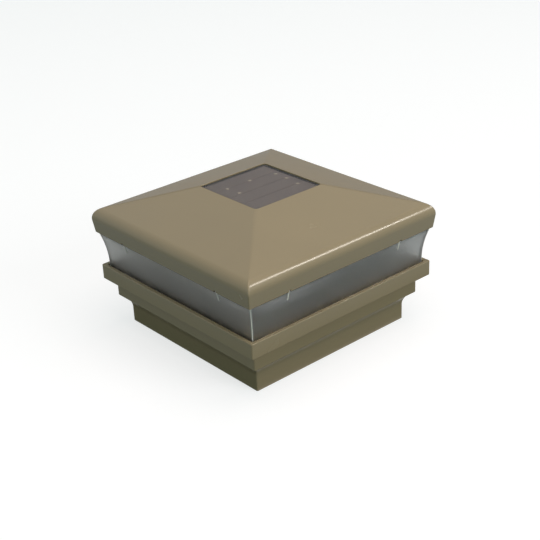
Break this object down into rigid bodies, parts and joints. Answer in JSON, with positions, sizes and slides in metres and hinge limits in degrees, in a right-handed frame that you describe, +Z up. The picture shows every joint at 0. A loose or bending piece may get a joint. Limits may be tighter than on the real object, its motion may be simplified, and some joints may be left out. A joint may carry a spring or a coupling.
{
  "type": "deck post cap light",
  "caption": "Square solar cap light for a sleeved deck post: stepped collar, clear flared lens and hipped roof with a solar panel, over a tray of lamps and battery.",
  "frame": {"origin": "middle of the collar's lower rim, on the plane that the part rests on", "axes": "+Z up towards the roof, X and Y square to the four faces; the battery bay runs along X on the -Y side"},
  "size_m": [0.1642, 0.1642, 0.1013],
  "materials": {
    "taupe_plastic": "satin moulded, taupe right through",
    "lens_plastic": "clear plastic, faintly satin",
    "cover_sheet": "clear plastic, polished",
    "seal_rubber": "matt black",
    "panel_back": "dark laminate",
    "solar_cell": "violet grey, smooth",
    "solder": "bright solder",
    "tray_plastic": "dark brown, fine grained",
    "screw_steel": "zinc plated",
    "circuit_board": "green lacquer",
    "black_plastic": "fine matt",
    "copper_coil": "lacquered copper wire",
    "capacitor_can": "sleeved can",
    "switch_steel": "tinned steel",
    "lamp_board": "white lacquer",
    "lamp_case": "white case with a yellow filling",
    "contact_steel": "nickel plated",
    "battery_can": "nickel plated",
    "battery_wrap": "plain green sleeve",
    "wire_cover": "red insulation"
  },
  "bodies": {
    "root": {"collar": "taupe_plastic", "deck_plate": "taupe_plastic"},
    "lamp_head": {"lens": "lens_plastic", "roof": "taupe_plastic", "panel_cover": "cover_sheet", "panel_seal": "seal_rubber", "panel_board": "panel_back", "solar_cells": "solar_cell", "cell_joints": "solder", "tray": "tray_plastic", "tray_screws": "screw_steel", "main_board": "circuit_board", "board_screws": "screw_steel", "controller_chip": "black_plastic", "choke_coil": "copper_coil", "capacitors": "capacitor_can", "switch_case": "switch_steel", "lamp_boards": "lamp_board", "lamps": "lamp_case", "spring_contact": "contact_steel", "plate_contact": "contact_steel", "panel_wires": "wire_cover", "battery_wires": "wire_cover", "lamp_wires": "wire_cover"},
    "battery_door": {"battery_door": "tray_plastic", "door_screws": "screw_steel", "door_seal": "seal_rubber"},
    "battery": {"battery_cell": "battery_can", "battery_sleeve": "battery_wrap"},
    "switch_knob": {"switch_knob": "black_plastic"}
  },
  "joints": [
    {"name": "head_lift", "type": "slide", "parent": "root", "child": "lamp_head", "axis": [0, 0, 1], "range_m": [0, 0.06]},
    {"name": "door_drop", "type": "slide", "parent": "lamp_head", "child": "battery_door", "axis": [0, 0, -1], "range_m": [0, 0.036]},
    {"name": "battery_drop", "type": "slide", "parent": "lamp_head", "child": "battery", "axis": [0, 0, -1], "range_m": [0, 0.027]},
    {"name": "switch_slide", "type": "slide", "parent": "lamp_head", "child": "switch_knob", "axis": [1, 0, 0], "range_m": [0, 0.002]}
  ],
  "couplings": [
    {"joint": "battery_drop", "follows": "door_drop", "ratio": 0.75}
  ]
}
